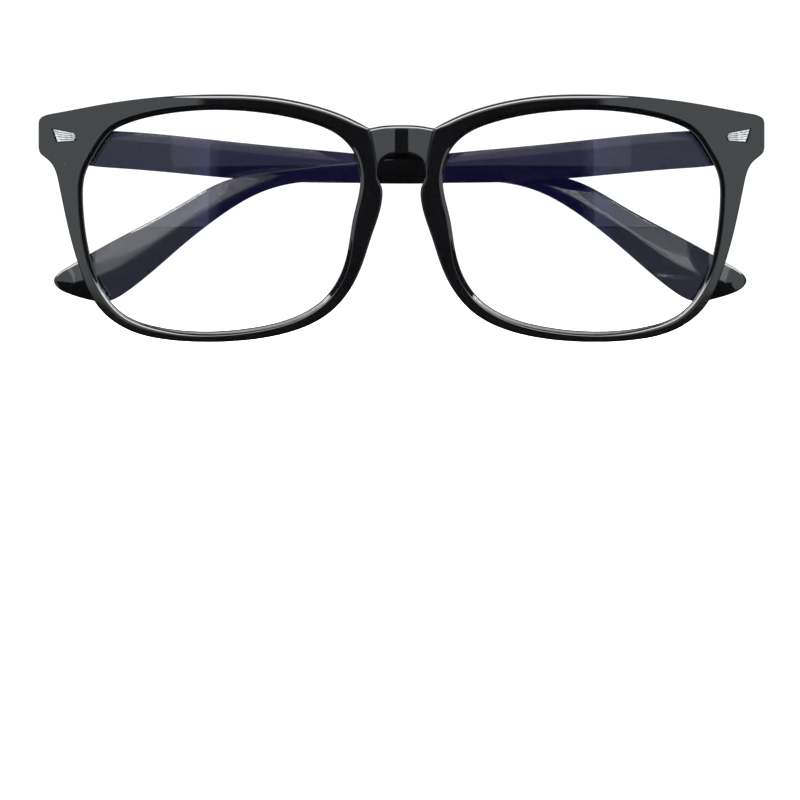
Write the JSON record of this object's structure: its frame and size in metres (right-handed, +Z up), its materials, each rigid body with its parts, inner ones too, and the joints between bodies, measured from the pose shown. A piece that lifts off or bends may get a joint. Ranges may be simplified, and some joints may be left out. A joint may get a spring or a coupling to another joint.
{
  "type": "glasses",
  "caption": "Blue-light glasses: square full-rim front with keyhole bridge and moulded nose pads, clear coated lenses, and temples on screwed barrel hinges, stored folded.",
  "frame": {"origin": "under the middle of the folded glasses' box, at the height of the lowest rim", "axes": "+X towards the wearer's left, +Y from the front towards the wearer, +Z up as worn"},
  "size_m": [0.144, 0.0244, 0.0491],
  "materials": {
    "front_plastic": "polished black",
    "temple_plastic": "polished black",
    "lens": "clear, with a faint violet-blue anti-reflection coating",
    "hinge_steel": "turned",
    "silver_trim": "ribbed, bright"
  },
  "bodies": {
    "front": {"front_frame": "front_plastic", "lens_left": "lens", "lens_right": "lens", "hinge_screw_left": "hinge_steel", "hinge_screw_right": "hinge_steel", "inlay_left": "silver_trim", "inlay_right": "silver_trim"},
    "left_temple": {"temple_left": "temple_plastic"},
    "right_temple": {"temple_right": "temple_plastic"}
  },
  "joints": [
    {"name": "left_temple_hinge", "type": "hinge", "parent": "front", "child": "left_temple", "pos_m": [0.068, 0.00221, 0.04035], "axis": [0, 0, -1], "range_deg": [0, 91.5]},
    {"name": "right_temple_hinge", "type": "hinge", "parent": "front", "child": "right_temple", "pos_m": [-0.068, 0.00221, 0.04035], "axis": [0, 0, 1], "range_deg": [0, 87.5]}
  ]
}
